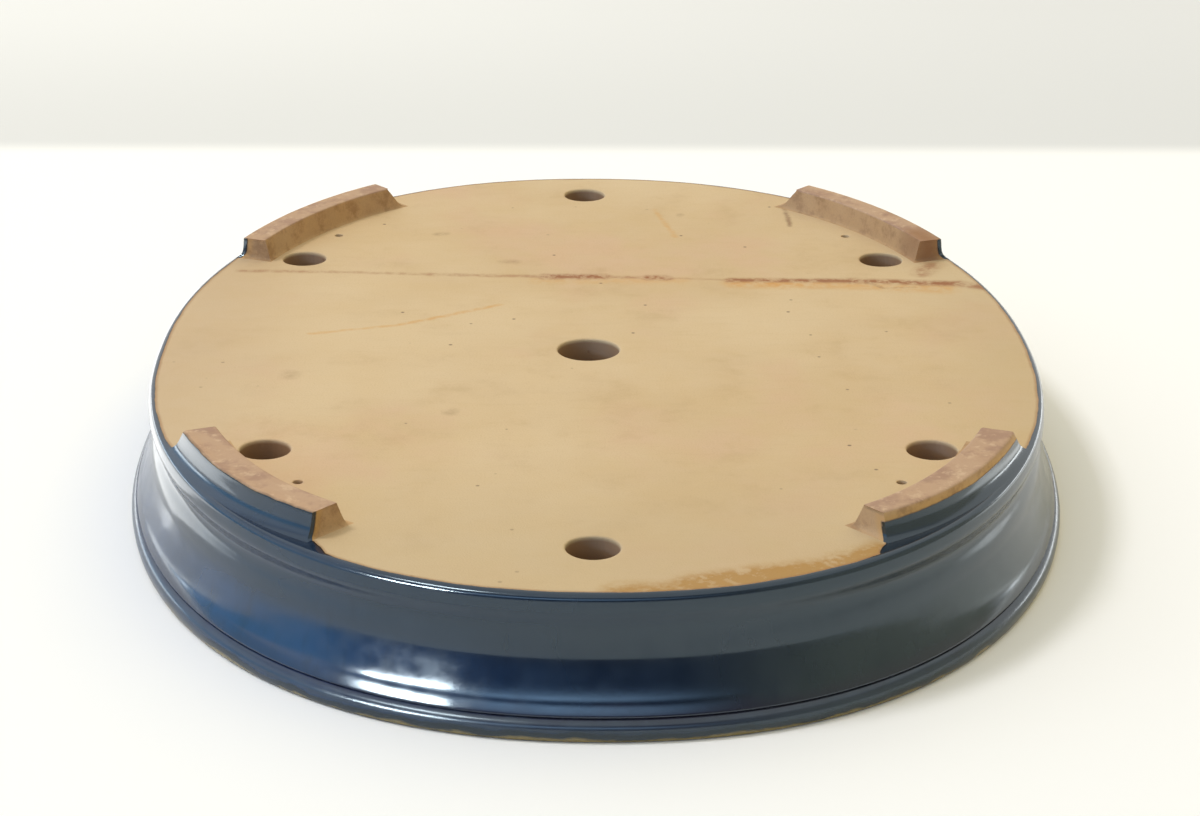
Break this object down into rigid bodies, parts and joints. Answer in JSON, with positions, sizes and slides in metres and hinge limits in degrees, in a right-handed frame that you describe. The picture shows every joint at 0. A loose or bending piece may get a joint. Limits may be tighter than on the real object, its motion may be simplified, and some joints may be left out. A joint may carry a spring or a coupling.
{
  "type": "oval bonsai pot",
  "caption": "Shallow oval bonsai pot with a flared wall in blue glaze, an unglazed pierced base and arc-shaped feet, stored upside down.",
  "frame": {"origin": "centre of the oval on the plane that the rim rests on, with the pot upside down as pictured", "axes": "+Z from the rim towards the feet, +Y along the long axis, away from the camera of the picture, +X across the pot to the camera's right; turn it half a turn about X to stand it on its feet"},
  "size_m": [0.301, 0.3968, 0.048],
  "materials": {
    "unglazed_clay": "unglazed buff clay, matt, with brown stains",
    "foot_clay": "unglazed buff clay, worn pinkish on the contact face",
    "blue_glaze": "glossy dark blue glaze, streaked",
    "lip_glaze": "glossy dark glaze that breaks to olive brown at the edge"
  },
  "bodies": {
    "root": {"base_slab": "unglazed_clay", "wall": "blue_glaze", "lip_ring": "lip_glaze", "seam_coil": "unglazed_clay", "foot_front_left": "foot_clay", "foot_front_right": "foot_clay", "foot_rear_left": "foot_clay", "foot_rear_right": "foot_clay"}
  },
  "joints": []
}
